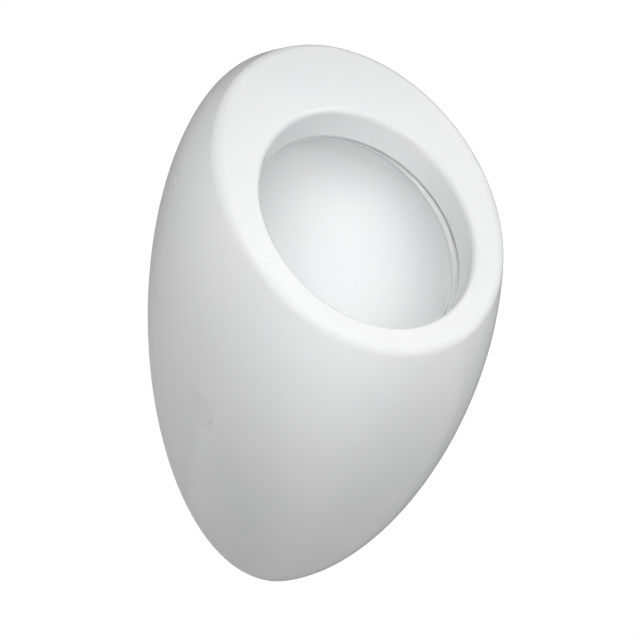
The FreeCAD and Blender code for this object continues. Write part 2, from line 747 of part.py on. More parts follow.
# ---- lift-out insert -------------------------------------------------------------------------
def dip_tube():
    collar = spigot_radius - spigot_wall - insert_gap
    tube_in = dip_tube_radius - dip_tube_wall
    mouth = collar - dip_mouth_wall
    groove_in = collar + insert_gap - o_ring_gap - o_ring_section
    groove_high = -o_ring_below_floor + o_ring_section / 2
    groove_low = -o_ring_below_floor - o_ring_section / 2
    cone_end = -dip_collar_depth - dip_cone_depth
    tube = about_drain([(mouth, insert_seat), (collar, insert_seat), (collar, groove_high),
                        (groove_in, groove_high), (groove_in, groove_low), (collar, groove_low),
                        (collar, -dip_collar_depth), (dip_tube_radius, cone_end),
                        (dip_tube_radius, dip_tube_end), (tube_in, dip_tube_end), (tube_in, cone_end)])
    half_bar = mouth + cross_bar_overlap
    bar = Part.makeBox(2 * half_bar, cross_bar_width, cross_bar_height,
                       drain_point + V(-half_bar, -cross_bar_width / 2, insert_seat - cross_bar_height))
    hub = cylinder(cross_bar_width / 2 + hub_wall, cross_bar_height + strainer_rise,
                   drain_point + up * (insert_seat - cross_bar_height), up)
    hole = cylinder(strainer_screw_radius + fit_gap, far, drain_point + up * (insert_seat - far / 2), up)
    return tube.fuse([bar, hub]).cut(hole)


def dip_o_ring():
    middle = spigot_radius - spigot_wall - o_ring_gap - o_ring_section / 2
    return Part.makeTorus(middle, o_ring_section / 2, drain_point - up * o_ring_below_floor, up)


def strainer():
    """Domed steel strainer with radial slots."""
    low, high = insert_seat, insert_seat + strainer_rise
    t = strainer_thickness
    foot = strainer_slot_outer + strainer_slot_rim
    slope = [(strainer_flat + (foot - strainer_flat) * k / strainer_steps,
              low + strainer_rise * math.cos(math.pi / 2 * k / strainer_steps))
             for k in range(strainer_steps + 1)]
    under = [(0, high)] + slope + [(strainer_radius, low), (strainer_radius, low + t / 2)]
    over = [(strainer_radius - t / 2, low + t)] + [(r, z + t) for r, z in reversed(slope)] + [(0, high + t)]
    dome = about_drain(under + over)
    dome = dome.cut(cylinder(strainer_screw_radius + fit_gap, far, drain_point - up, up))
    length = strainer_slot_outer - strainer_slot_inner
    slot = Part.makeBox(length, strainer_slot_width, far,
                        drain_point + V(strainer_slot_inner, -strainer_slot_width / 2, 0))
    for k in range(strainer_slots):
        cutter = slot.copy()
        cutter.rotate(drain_point, up, 360 * (k + 0.5) / strainer_slots)
        dome = dome.cut(cutter)
    return dome


def strainer_screw():
    seat = insert_seat + strainer_rise + strainer_thickness
    base = drain_point + up * seat
    head = cylinder(strainer_screw_head_radius, strainer_screw_head_height, base, up)
    top = base.z + strainer_screw_head_height
    head = head.makeFillet(strainer_screw_head_round, edges_where(head, lambda p: p.z > top - on_curve))
    slot = Part.makeBox(4 * strainer_screw_head_radius, strainer_screw_slot_width, far,
                        base + V(-2 * strainer_screw_head_radius, -strainer_screw_slot_width / 2,
                                 strainer_screw_head_height / 2))
    shank = cylinder(strainer_screw_radius, strainer_screw_length, base - up * strainer_screw_length, up)
    return head.cut(slot).fuse(shank)


# ---- inlet fittings, with places along the inlet axis from the wall ---------------------------
def about_inlet(points):
    """Solid of revolution of (radius, distance from the wall) points about the inlet axis."""
    return revolve_profile(points, V(0, 0, inlet_z), to_wall * -1)


def inlet_grommet():
    bore = tail_spigot_radius + fit_gap
    face = inlet_face_from_wall
    seat = inlet_seat_radius - fit_gap
    front = face - grommet_flange_thickness
    end = face + inlet_seat_length - grommet_short_of_seat
    edge = grommet_edge
    return about_inlet([(bore, front), (grommet_flange_radius - edge, front),
                        (grommet_flange_radius, front + edge), (grommet_flange_radius, face),
                        (seat, face), (seat, end - 2 * edge), (seat - edge, end), (bore, end)])


def inlet_tailpiece():
    start = tail_end_from_wall
    collar_end = start + tail_collar_thickness
    cone_start = collar_end + tail_tube_length
    cone_end = cone_start + tail_cone_length
    end = inlet_face_from_wall + inlet_seat_length + tail_spigot_past_grommet
    small_bore = tail_tube_radius - tail_wall
    large_bore = tail_spigot_radius - tail_wall
    return about_inlet([(small_bore, start), (tail_collar_radius, start), (tail_collar_radius, collar_end),
                        (tail_tube_radius, collar_end), (tail_tube_radius, cone_start),
                        (tail_spigot_radius, cone_end), (tail_spigot_radius, end), (large_bore, end),
                        (large_bore, cone_end), (small_bore, cone_start)])


def inlet_washer():
    start = tail_end_from_wall - inlet_washer_thickness
    return about_inlet([(tail_tube_radius - tail_wall, start), (tail_collar_radius, start),
                        (tail_collar_radius, tail_end_from_wall),
                        (tail_tube_radius - tail_wall, tail_end_from_wall)])


def inlet_nut():
    mouth = inlet_nut_mouth_from_wall
    neck = tail_end_from_wall + tail_collar_thickness
    base = V(0, -mouth, inlet_z)
    nut = hexagon(inlet_nut_width, inlet_nut_length, base, to_wall * -1)
    nut = nut.cut(cylinder(inlet_thread_radius, inlet_thread_length, base, to_wall * -1))
    nut = nut.cut(cylinder(tail_collar_radius + inlet_washer_gap, neck - mouth, base, to_wall * -1))
    return nut.cut(cylinder(tail_tube_radius + fit_gap, 2 * inlet_nut_length, base, to_wall * -1))


# ---- all pieces ------------------------------------------------------------------------------
def group(shapes):
    return Part.makeCompound(shapes)


def sub_parts():
    """Every node with its shape; left is -X, as seen from the room."""
    fixings = (upper_fixing, lower_fixing)
    upper_arm, lower_arm = wall_arm(upper_fixing), wall_arm(lower_fixing)
    cap = access_cap()
    return {
        "ceramic_body": ceramic_body(),
        "wall_arm_upper_left": mirrored(upper_arm),
        "wall_arm_upper_right": upper_arm,
        "wall_arm_lower_left": mirrored(lower_arm),
        "wall_arm_lower_right": lower_arm,
        "arm_nuts": group([s for place in fixings for s in both_sides(arm_nut(place))]),
        "arm_pads": group([s for place in fixings for s in both_sides(arm_pad(place))]),
        "head_washers": group([s for place in fixings for s in both_sides(head_washer(place))]),
        "side_screws_upper": group(both_sides(side_screw(upper_fixing))),
        "side_screws_lower": group(both_sides(side_screw(lower_fixing))),
        "access_cap_left": mirrored(cap),
        "access_cap_right": cap,
        "waste_flange": waste_flange(),
        "waste_gasket_upper": drain_ring(brim_radius - 1, spigot_radius + fit_gap, 0,
                                         upper_gasket_thickness),
        "waste_gasket_lower": drain_ring(lower_gasket_radius, spigot_radius + fit_gap, trap_top,
                                         -drain_wall),
        "trap_head": trap_head(),
        "trap_cup": trap_cup(),
        "cup_seal": drain_ring(trap_radius, trap_radius - trap_wall,
                               -cup_joint_below_floor - cup_seal_thickness, -cup_joint_below_floor),
        "cup_ring": cup_ring(),
        "outlet_seal": outlet_seal(),
        "outlet_nut": outlet_nut(),
        "outlet_pipe": outlet_pipe(),
        "dip_tube": dip_tube(),
        "dip_o_ring": dip_o_ring(),
        "strainer": strainer(),
        "strainer_screw": strainer_screw(),
        "inlet_grommet": inlet_grommet(),
        "inlet_tailpiece": inlet_tailpiece(),
        "inlet_washer": inlet_washer(),
        "inlet_nut": inlet_nut(),
    }


def main():
    os.makedirs("parts", exist_ok=True)
    for name, shape in sub_parts().items():
        shape.exportStep(os.path.join("parts", name + ".step"))
        print(name, "solids", len(shape.Solids), "volume", round(shape.Volume), "valid", shape.isValid())


main()
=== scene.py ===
import json
import math

import bmesh
import bpy
from bpy.props import FloatProperty, FloatVectorProperty, PointerProperty
from mathutils import Matrix, Vector
from mathutils.bvhtree import BVHTree


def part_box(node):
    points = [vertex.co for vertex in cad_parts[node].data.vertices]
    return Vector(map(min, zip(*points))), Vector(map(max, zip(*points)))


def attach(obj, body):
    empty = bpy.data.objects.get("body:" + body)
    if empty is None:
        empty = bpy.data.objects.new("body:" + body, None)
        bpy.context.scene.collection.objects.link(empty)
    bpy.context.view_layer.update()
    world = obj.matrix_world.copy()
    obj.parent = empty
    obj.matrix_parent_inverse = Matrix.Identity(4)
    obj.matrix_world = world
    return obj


bl_info = {
    "name": "Wall Hung Urinal Finisher",
    "version": (1, 0, 0),
    "blender": (4, 5, 0),
    "location": "3D View > Sidebar > Urinal",
    "description": "Finishes a wall hung ceramic urinal, its waste, inlet and side fixings, and lights it",
    "category": "Object",
}

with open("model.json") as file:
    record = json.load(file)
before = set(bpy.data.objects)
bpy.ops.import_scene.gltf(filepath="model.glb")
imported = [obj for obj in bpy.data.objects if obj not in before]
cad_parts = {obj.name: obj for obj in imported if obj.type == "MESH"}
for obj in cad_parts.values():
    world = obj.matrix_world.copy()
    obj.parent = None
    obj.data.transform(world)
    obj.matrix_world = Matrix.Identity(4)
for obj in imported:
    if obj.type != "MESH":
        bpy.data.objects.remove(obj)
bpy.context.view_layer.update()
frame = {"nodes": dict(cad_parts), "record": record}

MM = 0.001
SIDES = (("left", -1), ("right", 1))        # name and sign of x

# ---- scales and ranges of the textures -------------------------------------------------------
# noise seldom passes these, so they stand for its low and high end
NOISE_LOW, NOISE_HIGH = 0.3, 0.7
PATCH_LOW, PATCH_HIGH = 0.35, 0.65          # for patches with clearer edges

# how many patches, rubbed areas or grains lie in a metre
GLAZE_PATCHES = 9.0
METAL_PATCHES = 55.0
PLASTIC_PATCHES = 70.0
RUBBED_AREAS = 45.0
FLOOR_GRIT = 60.0

# how far roughness wanders with a moulded or grained surface
MOULD_WANDER = 0.05
GRAIN_WANDER = 0.08

RUB_MARKS_SCALE = (90, 900, 1400)           # long in x, thin in z
RUB_MARKS_RANGE = (0.66, 0.72)              # only the peaks of the noise are marks
RUBBED_AREAS_RANGE = (0.5, 0.6)
RUBBED_GAIN = 1.15                          # brightness of a rub mark over that of its metal
GRAIN_STRETCH = 40                          # length of a grain line over its width

FRAY = 0.3 * MM                             # how far the glaze's edge at the wall wanders
FRAY_BLUR = 0.2 * MM                        # width in which glaze gives way to bare clay
PORE_SHADE = 0.86                           # colour of a pore over that of the clay round it

FIBRE_SCALE = (900, 2500, 500)              # thin in y, long in z
FIBRE_SHADE = 0.6                           # colour of the binder over that of the strands
FIBRE_RELIEF = 3                            # height of the strands over the moulds' texture depth


def paint(name, description, colour):
    return FloatVectorProperty(name=name, description=description, subtype="COLOR", size=3,
                               default=colour, min=0.0, max=1.0)


def share(name, description, value):
    return FloatProperty(name=name, description=description, subtype="FACTOR", default=value,
                         min=0.0, max=1.0)


def length(name, description, metres):
    return FloatProperty(name=name, description=description, subtype="DISTANCE", unit="LENGTH",
                         default=metres, min=0.0)


# ---- sizes and colours that a user would change ----------------------------------------------
class GlazeSettings(bpy.types.PropertyGroup):
    """Fired glaze over vitreous china."""
    colour: paint("Glaze Colour", "Colour of the white glaze", (0.9, 0.9, 0.9))
    pooled_colour: paint("Pooled Colour", "Colour where the glaze lies thicker", (0.885, 0.89, 0.893))
    bisque_colour: paint("Bisque Colour", "Bare fired clay where the wall edge is ground flat",
                         (0.72, 0.68, 0.61))
    roughness: share("Glaze Roughness", "Mean roughness of the glaze", 0.1)
    roughness_change: share("Roughness Change", "How far the glaze's roughness wanders", 0.03)
    bisque_roughness: share("Bisque Roughness", "Roughness of the bare clay", 0.75)
    ripple_size: length("Ripple Size", "Distance between the shallow waves of the glaze", 22 * MM)
    ripple_height: length("Ripple Height", "Height of the shallow waves of the glaze", 0.04 * MM)
    pore_size: length("Pore Size", "Distance between the pores of the bare clay", 0.8 * MM)
    pore_depth: length("Pore Depth", "Depth of the pores of the bare clay", 0.15 * MM)
    ground_edge: length("Ground Edge", "Width of the bare band at the wall edge", 1.4 * MM)


class MetalSettings(bpy.types.PropertyGroup):
    """Zinc plated arms, stainless screws, the polished strainer and brass inlet fittings."""
    zinc: paint("Zinc Colour", "Plated steel of the wall arms and their nuts", (0.6, 0.61, 0.62))
    zinc_tint: paint("Zinc Tint", "Patches of the plating's passivation", (0.55, 0.57, 0.62))
    stainless: paint("Stainless Colour", "Side screws, waste flange and strainer screw", (0.66, 0.66, 0.67))
    strainer: paint("Strainer Colour", "Polished strainer", (0.78, 0.78, 0.8))
    brass: paint("Brass Colour", "Inlet nut and tailpiece", (0.72, 0.52, 0.24))
    brass_tarnish: paint("Brass Tarnish", "Duller patches of the brass", (0.55, 0.38, 0.17))
    grain_width: length("Grain Width", "Width of the brushing and turning marks", 0.25 * MM)
    grain_depth: length("Grain Depth", "Depth of the brushing and turning marks", 0.012 * MM)
    thread_pitch: length("Thread Pitch", "Pitch of the side screws' threads", 1.25 * MM)
    thread_depth: length("Thread Depth", "Depth of the side screws' threads", 0.4 * MM)
    inlet_pitch: length("Inlet Pitch", "Pitch of the thread inside the inlet nut", 1.81 * MM)
    inlet_ridge: length("Inlet Ridge", "Height of the thread inside the inlet nut", 0.7 * MM)


class PlasticSettings(bpy.types.PropertyGroup):
    """Access caps, trap mouldings, washers, seals and the fibre washer."""
    cap: paint("Cap Colour", "White access caps, matched to the glaze", (0.88, 0.88, 0.88))
    trap: paint("Trap Colour", "Trap mouldings and outlet pipe", (0.78, 0.78, 0.75))
    nylon: paint("Nylon Colour", "Washers under the screw heads", (0.8, 0.78, 0.7))
    rubber: paint("Rubber Colour", "Pads, gaskets, seals and the inlet grommet", (0.025, 0.025, 0.027))
    rubber_bloom: paint("Rubber Bloom", "Greyer patches of the rubber", (0.06, 0.06, 0.062))
    fibre: paint("Fibre Colour", "Washer in the inlet nut", (0.3, 0.08, 0.05))
    spark_size: length("Spark Size", "Distance between the pits of the moulds' texture", 0.7 * MM)
    spark_depth: length("Spark Depth", "Depth of the moulds' texture", 0.02 * MM)
    seam_height: length("Seam Height", "Height of the mould lines on the trap", 0.35 * MM)
    seam_width: length("Seam Width", "Width of the mould lines on the trap", 0.9 * MM)
    gate_radius: length("Gate Radius", "Radius of the moulding gate under the cup", 4 * MM)


class StageSettings(bpy.types.PropertyGroup):
    """Floor, surround and camera."""
    floor_drop: length("Floor Drop", "Height of the wall fixings' centre over the floor", 0.72)
    floor_radius: length("Floor Radius", "Radius of the round floor", 1.6)
    floor_colour: paint("Floor Colour", "Colour of the floor", (0.8, 0.8, 0.8))
    backdrop_glow: FloatProperty(
        name="Backdrop Glow", description="Brightness of the white surround behind the object",
        default=1.02, min=0.0)
    surround_light: FloatProperty(
        name="Surround Light", description="Even light from all round", default=0.004, min=0.0)
    front_gloss: FloatProperty(
        name="Front Gloss", description="Brightness that gloss mirrors from the room side", default=0.12,
        min=0.0)
    back_gloss: FloatProperty(
        name="Back Gloss", description="Brightness that gloss mirrors from the wall side", default=0.3,
        min=0.0)
    camera_turn: FloatProperty(
        name="Camera Turn", description="Angle of the camera round the object, towards its left side",
        subtype="ANGLE", unit="ROTATION", default=math.radians(22.28))
    camera_rise: FloatProperty(
        name="Camera Rise", description="Angle of the camera over the horizontal",
        subtype="ANGLE", unit="ROTATION", default=math.radians(-0.52))
    camera_distance: length("Camera Distance", "Distance from the camera to the point it aims at", 2.5)
    focal_length: FloatProperty(
        name="Focal Length", description="Focal length for a 36 mm wide sensor, in millimetres",
        default=123.75, min=10.0)


# ---- shader helpers --------------------------------------------------------------------------
def new_material(name):
    """Material with the default Principled shader, and its node tree."""
    material = bpy.data.materials.new(name)
    material.use_nodes = True
    return material, material.node_tree


def shader_of(tree):
    return next(node for node in tree.nodes if node.type == "BSDF_PRINCIPLED")


def object_place(tree):
    return tree.nodes.new("ShaderNodeTexCoord").outputs["Object"]


def feed(tree, value, socket):
    """Links an output to a socket, or sets a plain value on it."""
    if isinstance(value, bpy.types.NodeSocket):
        tree.links.new(value, socket)
    else:
        socket.default_value = value


def noise(tree, place, scale, detail=2.0):
    node = tree.nodes.new("ShaderNodeTexNoise")
    node.inputs["Detail"].default_value = detail
    feed(tree, scale, node.inputs["Scale"])
    feed(tree, place, node.inputs["Vector"])
    return node.outputs["Fac"]


def remap(tree, value, from_low, from_high, to_low=0.0, to_high=1.0):
    node = tree.nodes.new("ShaderNodeMapRange")
    for name, number in (("From Min", from_low), ("From Max", from_high),
                         ("To Min", to_low), ("To Max", to_high)):
        feed(tree, number, node.inputs[name])
    feed(tree, value, node.inputs["Value"])
    return node.outputs["Result"]


def calculate(tree, operation, first, second=0.0):
    node = tree.nodes.new("ShaderNodeMath")
    node.operation = operation
    feed(tree, first, node.inputs[0])
    feed(tree, second, node.inputs[1])
    return node.outputs["Value"]


def mix_node(tree, kind, share_of_second):
    """Mix node and its sockets of one kind, by name."""
    node = tree.nodes.new("ShaderNodeMix")
    node.data_type = kind
    factor = next(s for s in node.inputs if s.name == "Factor" and s.enabled)
    feed(tree, share_of_second, factor)
    return {s.name: s for s in node.inputs if s.enabled}, next(s for s in node.outputs if s.enabled)


def blend_colours(tree, share_of_second, first, second):
    given, result = mix_node(tree, "RGBA", share_of_second)
    for value, name in ((first, "A"), (second, "B")):
        feed(tree, value if isinstance(value, bpy.types.NodeSocket) else (*value, 1), given[name])
    return result


def blend_values(tree, share_of_second, first, second):
    given, result = mix_node(tree, "FLOAT", share_of_second)
    feed(tree, first, given["A"])
    feed(tree, second, given["B"])
    return result


def axis_of(tree, place, axis):
    node = tree.nodes.new("ShaderNodeSeparateXYZ")
    tree.links.new(place, node.inputs["Vector"])
    return node.outputs[axis]


def stretched(tree, place, scale):
    node = tree.nodes.new("ShaderNodeMapping")
    node.inputs["Scale"].default_value = scale
    tree.links.new(place, node.inputs["Vector"])
    return node.outputs["Vector"]


def bump(tree, height, distance, under=None):
    """Adds a bump to the shader's normal, on top of the one given as under."""
    node = tree.nodes.new("ShaderNodeBump")
    node.inputs["Distance"].default_value = distance
    tree.links.new(height, node.inputs["Height"])
    if under is not None:
        tree.links.new(under, node.inputs["Normal"])
    tree.links.new(node.outputs["Normal"], shader_of(tree).inputs["Normal"])
    return node.outputs["Normal"]


# ---- effects that several materials share ----------------------------------------------------
def new_group(name, inputs, outputs):
    group = bpy.data.node_groups.new(name, "ShaderNodeTree")
    for label, kind in inputs:
        group.interface.new_socket(name=label, in_out="INPUT", socket_type=kind)
    for label in outputs:
        group.interface.new_socket(name=label, in_out="OUTPUT", socket_type="NodeSocketFloat")
    return group, group.nodes.new("NodeGroupInput").outputs, group.nodes.new("NodeGroupOutput").inputs


def patches_group():
    """Soft uneven patches, for a colour or roughness that wanders over a surface."""
    group, given, result = new_group(
        "uneven_patches", (("Place", "NodeSocketVector"), ("Scale", "NodeSocketFloat")), ("Mask",))
    cloud = noise(group, given["Place"], given["Scale"], detail=3.0)
    group.links.new(remap(group, cloud, PATCH_LOW, PATCH_HIGH), result["Mask"])
    return group


def moulded_group():
    """Spark-eroded mould texture: shallow pits with a faint wander in the sheen."""
    group, given, result = new_group(
        "mould_texture", (("Place", "NodeSocketVector"), ("Scale", "NodeSocketFloat"),
                          ("Roughness", "NodeSocketFloat")), ("Roughness", "Height"))
    pits = group.nodes.new("ShaderNodeTexVoronoi")
    group.links.new(given["Place"], pits.inputs["Vector"])
    group.links.new(given["Scale"], pits.inputs["Scale"])
    fine = noise(group, given["Place"], given["Scale"], detail=1.0)
    height = calculate(group, "MULTIPLY", pits.outputs["Distance"], fine)
    group.links.new(height, result["Height"])
    wander = remap(group, fine, NOISE_LOW, NOISE_HIGH, -MOULD_WANDER, MOULD_WANDER)
    group.links.new(calculate(group, "ADD", given["Roughness"], wander), result["Roughness"])
    return group


def grain_group():
    """Fine lines left by brushing, drawing or turning, and the roughness that goes with them."""
    group, given, result = new_group(
        "metal_grain", (("Place", "NodeSocketVector"), ("Roughness", "NodeSocketFloat")),
        ("Roughness", "Height"))
    lines = noise(group, given["Place"], scale=1.0, detail=2.0)
    group.links.new(lines, result["Height"])
    wander = remap(group, lines, NOISE_LOW, NOISE_HIGH, -GRAIN_WANDER, GRAIN_WANDER)
    group.links.new(calculate(group, "ADD", given["Roughness"], wander), result["Roughness"])
    return group


def rub_marks_group():
    """Sparse rub marks from handling and spanners."""
    group, given, result = new_group("rub_marks", (("Place", "NodeSocketVector"),), ("Mask",))
    drawn_out = stretched(group, given["Place"], RUB_MARKS_SCALE)
    long_marks = noise(group, drawn_out, scale=1.0, detail=1.0)
    where = noise(group, given["Place"], RUBBED_AREAS, detail=1.0)
    marks = remap(group, long_marks, *RUB_MARKS_RANGE)
    areas = remap(group, where, *RUBBED_AREAS_RANGE)
    group.links.new(calculate(group, "MULTIPLY", marks, areas), result["Mask"])
    return group


GROUP_MAKERS = {"uneven_patches": patches_group, "mould_texture": moulded_group,
                "metal_grain": grain_group, "rub_marks": rub_marks_group}


def effect(tree, name, **given):
    """Places a shared effect in a material and returns its outputs."""
    node = tree.nodes.new("ShaderNodeGroup")
    node.node_tree = bpy.data.node_groups.get(name) or GROUP_MAKERS[name]()
    for label, value in given.items():
        feed(tree, value, node.inputs[label.capitalize()])
    return node.outputs


# ---- materials -------------------------------------------------------------------------------
def shaded(colour, factor):
    """The same colour, darker or brighter by a factor."""
    return [part * factor for part in colour]


def glaze_material(settings):
    """White glaze that thins and pools, ending in bare ground clay where it meets the wall."""
    material, tree = new_material("white_glaze")
    shader = shader_of(tree)
    place = object_place(tree)
    pooled = effect(tree, "uneven_patches", place=place, scale=GLAZE_PATCHES)["Mask"]
    wave = noise(tree, place, 1 / settings.ripple_size, detail=1.0)
    pores = noise(tree, place, 1 / settings.pore_size, detail=3.0)
    frayed = calculate(tree, "ADD", axis_of(tree, place, "Y"),
                       remap(tree, pores, 0.0, 1.0, -FRAY, FRAY))
    bare = remap(tree, frayed, -settings.ground_edge, -settings.ground_edge + FRAY_BLUR)
    glaze = blend_colours(tree, pooled, settings.colour, settings.pooled_colour)
    clay = blend_colours(tree, pores, settings.bisque_colour,
                         shaded(settings.bisque_colour, PORE_SHADE))
    feed(tree, blend_colours(tree, bare, glaze, clay), shader.inputs["Base Color"])
    change = settings.roughness_change
    gloss = remap(tree, wave, NOISE_LOW, NOISE_HIGH, settings.roughness - change,
                  settings.roughness + change)
    feed(tree, blend_values(tree, bare, gloss, settings.bisque_roughness), shader.inputs["Roughness"])
    rippled = bump(tree, wave, settings.ripple_height)
    bump(tree, calculate(tree, "MULTIPLY", pores, bare), settings.pore_depth, rippled)
    return material


def metal_material(name, colour, patch_colour, roughness, grain_scale, grain_depth, dulling=0.12):
    """Metal with a directional grain, uneven patches and rub marks."""
    material, tree = new_material(name)
    shader = shader_of(tree)
    place = object_place(tree)
    shader.inputs["Metallic"].default_value = 1.0
    patches = effect(tree, "uneven_patches", place=place, scale=METAL_PATCHES)["Mask"]
    rubbed = effect(tree, "rub_marks", place=place)["Mask"]
    plated = blend_colours(tree, patches, colour, patch_colour)
    bright = [min(1.0, part) for part in shaded(colour, RUBBED_GAIN)]
    feed(tree, blend_colours(tree, rubbed, plated, bright), shader.inputs["Base Color"])
    grain = effect(tree, "metal_grain", place=stretched(tree, place, grain_scale), roughness=roughness)
    duller = calculate(tree, "ADD", grain["Roughness"], remap(tree, patches, 0.0, 1.0, 0.0, dulling))
    feed(tree, duller, shader.inputs["Roughness"])
    bump(tree, grain["Height"], grain_depth)
    return material


def plastic_material(name, colour, patch_colour, roughness, settings, depth=1.0):
    """Moulded plastic or rubber with the mould's texture and faint patches."""
    material, tree = new_material(name)
    shader = shader_of(tree)
    place = object_place(tree)
    patches = effect(tree, "uneven_patches", place=place, scale=PLASTIC_PATCHES)["Mask"]
    feed(tree, blend_colours(tree, patches, colour, patch_colour), shader.inputs["Base Color"])
    mould = effect(tree, "mould_texture", place=place, scale=1 / settings.spark_size, roughness=roughness)
    feed(tree, mould["Roughness"], shader.inputs["Roughness"])
    bump(tree, mould["Height"], settings.spark_depth * depth)
    return material


def threaded_material(settings, name, shank_end):
    """Stainless screw steel, with a bump for the thread as far from the mirror plane as shank_end."""
    material = metal_material(name, settings.stainless, shaded(settings.stainless, 0.94),
                              roughness=0.3, grain_scale=grain_of(settings, "X"),
                              grain_depth=settings.grain_depth)
    tree = material.node_tree
    across = axis_of(tree, object_place(tree), "X")
    wave = calculate(tree, "SINE", calculate(tree, "MULTIPLY", across, math.tau / settings.thread_pitch))
    away = calculate(tree, "ABSOLUTE", across)
    on_shank = remap(tree, away, shank_end, shank_end - settings.thread_pitch)
    under = shader_of(tree).inputs["Normal"].links[0].from_socket
    bump(tree, calculate(tree, "MULTIPLY", wave, on_shank), settings.thread_depth / 2, under)
    return material


def grain_of(settings, along):
    """Scale of a grain whose lines run along one axis."""
    fine = 1 / settings.grain_width
    return tuple(fine / GRAIN_STRETCH if axis == along else fine for axis in "XYZ")


def shared_material(name):
    """The material of that name, made on first use."""
    return bpy.data.materials.get(name) or MATERIAL_MAKERS[name]()


def zinc_material():
    metals = bpy.context.scene.urinal_metals
    return metal_material("zinc_plating", metals.zinc, metals.zinc_tint, roughness=0.38,
                          grain_scale=grain_of(metals, "Y"), grain_depth=metals.grain_depth,
                          dulling=0.18)


def stainless_material():
    metals = bpy.context.scene.urinal_metals
    return metal_material("turned_stainless", metals.stainless, shaded(metals.stainless, 0.93),
                          roughness=0.27, grain_scale=grain_of(metals, "X"),
                          grain_depth=metals.grain_depth)


def polished_material():
    metals = bpy.context.scene.urinal_metals
    return metal_material("polished_steel", metals.strainer, shaded(metals.strainer, 0.97),
                          roughness=0.12, grain_scale=grain_of(metals, "X"),
                          grain_depth=metals.grain_depth / 4, dulling=0.05)


def brass_material():
    metals = bpy.context.scene.urinal_metals
    return metal_material("machined_brass", metals.brass, metals.brass_tarnish, roughness=0.25,
                          grain_scale=grain_of(metals, "X"), grain_depth=metals.grain_depth,
                          dulling=0.15)


def rubber_material():
    plastics = bpy.context.scene.urinal_plastics
    return plastic_material("black_rubber", plastics.rubber, plastics.rubber_bloom, roughness=0.7,
                            settings=plastics, depth=2.0)


def trap_material():
    plastics = bpy.context.scene.urinal_plastics
    return plastic_material("trap_moulding", plastics.trap, shaded(plastics.trap, 0.95),
                            roughness=0.36, settings=plastics)


def nylon_material():
    plastics = bpy.context.scene.urinal_plastics
    return plastic_material("washer_nylon", plastics.nylon, shaded(plastics.nylon, 0.92),
                            roughness=0.45, settings=plastics)


def cap_material():
    """Gloss plastic of the access caps, close to the glaze round them."""
    plastics = bpy.context.scene.urinal_plastics
    return plastic_material("cap_plastic", plastics.cap, shaded(plastics.cap, 0.99),
                            roughness=0.14, settings=plastics, depth=0.3)


def fibre_material():
    """Pressed fibre: long tangled strands in a darker binder."""
    plastics = bpy.context.scene.urinal_plastics
    material, tree = new_material("pressed_fibre")
    shader = shader_of(tree)
    drawn_out = stretched(tree, object_place(tree), FIBRE_SCALE)
    strands = noise(tree, drawn_out, scale=1.0, detail=4.0)
    colour = blend_colours(tree, remap(tree, strands, PATCH_LOW, PATCH_HIGH),
                           shaded(plastics.fibre, FIBRE_SHADE), plastics.fibre)
    feed(tree, colour, shader.inputs["Base Color"])
    roughness = remap(tree, strands, NOISE_LOW, NOISE_HIGH, to_low=0.7, to_high=0.9)
    feed(tree, roughness, shader.inputs["Roughness"])
    bump(tree, strands, plastics.spark_depth * FIBRE_RELIEF)
    return material


MATERIAL_MAKERS = {"zinc_plating": zinc_material, "turned_stainless": stainless_material,
                   "polished_steel": polished_material, "machined_brass": brass_material,
                   "black_rubber": rubber_material, "trap_moulding": trap_material,
                   "washer_nylon": nylon_material, "cap_plastic": cap_material,
                   "pressed_fibre": fibre_material}


def finish_node(node, material):
    """Gives a node of the part its material."""
    slots = frame["nodes"][node].data.materials
    slots.clear()
    slots.append(material)


def finish_nodes(names, material_name):
    for name in names:
        finish_node(name, shared_material(material_name))


# ---- shapes added to the part ----------------------------------------------------------------
SUNK = 0.1 * MM                 # how far an added shape reaches into what carries it

THREAD_STEPS = 48               # sections in one turn of the inlet thread
THREAD_TAPER = THREAD_STEPS / 8     # sections over which a thread's end runs out
THREAD_FOOT, THREAD_CREST = 0.42, 0.07      # half widths, in pitches

SEAM_STEPS = 24                 # stretches of one mould line
SEAM_MARGIN = MM                # between a mould line's end and the ring or edge next to it
CUP_SEAM_START = 8 * MM         # height of a mould line's lower end over the cup's bottom

GATE_AROUND = 32                # corners of the gate's circles
# share of the gate's radius, and height over the cup's bottom, from the rim to the cut sprue
GATE_PROFILE = ((1.0, SUNK), (0.95, -0.4 * MM), (0.55, -0.5 * MM), (0.5, -0.2 * MM),
                (0.22, -0.2 * MM), (0.18, -0.9 * MM))


def mesh_piece(name, points, faces, material_name):
    """Closed mesh that moves with the ceramic."""
    mesh = bpy.data.meshes.new(name)
    mesh.from_pydata(points, [], faces)
    build = bmesh.new()
    build.from_mesh(mesh)
    bmesh.ops.recalc_face_normals(build, faces=build.faces)
    build.to_mesh(mesh)
    build.free()
    mesh.materials.append(shared_material(material_name))
    piece = bpy.data.objects.new(name, mesh)
    bpy.context.scene.collection.objects.link(piece)
    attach(piece, "urinal")


def ridge(name, sections, material_name):
    """Bar through cross-sections of equal point count, closed at both ends."""
    count = len(sections[0])
    points = [point for section in sections for point in section]
    last = (len(sections) - 1) * count
    faces = [tuple(range(count)), tuple(range(last, last + count))]
    for start in range(0, last, count):
        for j in range(count):
            a, b = start + j, start + (j + 1) % count
            faces.append((a, b, b + count, a + count))
    mesh_piece(name, points, faces, material_name)


